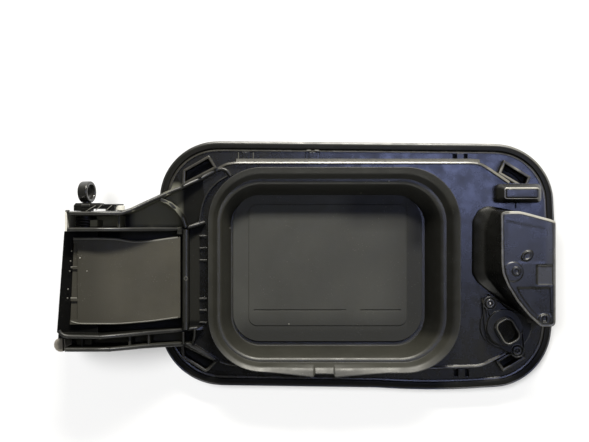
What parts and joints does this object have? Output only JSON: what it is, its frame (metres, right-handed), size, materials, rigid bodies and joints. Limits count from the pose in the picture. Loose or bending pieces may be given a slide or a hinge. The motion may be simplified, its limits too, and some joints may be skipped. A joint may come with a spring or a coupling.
{
  "type": "charging port door",
  "caption": "Rounded charging flap on a gooseneck hinge arm, with a moulded inner carrier, a two-step rubber boot, a latch socket and a spring lever with a roller.",
  "frame": {"origin": "middle of the flat spot of the outer skin, on the surface that the door lies on", "axes": "+X from the hinge arm towards the latch side, +Y towards the door's upper edge, +Z out of the inner side"},
  "size_m": [0.2941, 0.1492, 0.044],
  "materials": {
    "skin_paint": "black gloss paint",
    "carrier_plastic": "black moulded plastic, half gloss",
    "seal_rubber": "matt black rubber",
    "floor_plastic": "matt dark grey plastic",
    "cover_plastic": "dark grey plastic, half gloss",
    "receiver_plastic": "black plastic",
    "ring_plastic": "dark grey plastic",
    "white_nylon": "white nylon",
    "pale_rubber": "pale grey rubber",
    "bright_steel": "zinc-plated steel",
    "dark_steel": "black phosphated steel"
  },
  "bodies": {
    "door": {"outer_skin": "skin_paint", "carrier_frame": "carrier_plastic", "charge_seal": "seal_rubber", "floor_plate": "floor_plastic", "latch_cover": "cover_plastic", "buffer_block": "cover_plastic", "receiver_base": "receiver_plastic", "latch_receiver": "receiver_plastic", "receiver_collar": "receiver_plastic", "receiver_screw_upper": "bright_steel", "receiver_screw_lower": "dark_steel", "hinge_spring": "dark_steel", "channel_cap": "white_nylon", "arm_bumper": "pale_rubber", "edge_clips": "carrier_plastic"},
    "lever": {"hinge_pin": "dark_steel", "pull_ring": "ring_plastic", "hinge_block": "receiver_plastic", "lever_arm": "receiver_plastic", "roller_axle": "bright_steel"},
    "roller": {"stop_roller": "white_nylon"}
  },
  "joints": [
    {"name": "lever_turn", "type": "hinge", "parent": "door", "child": "lever", "pos_m": [-0.16, 0.03, 0.027], "axis": [0, 1, 0], "range_deg": [-95, 0], "stiffness_Nm_per_rad": 0.02, "springref_deg": 5.73},
    {"name": "roller_spin", "type": "hinge", "parent": "lever", "child": "roller", "pos_m": [-0.1401, 0.0344, 0.027], "axis": [0, 1, 0], "continuous": true}
  ]
}
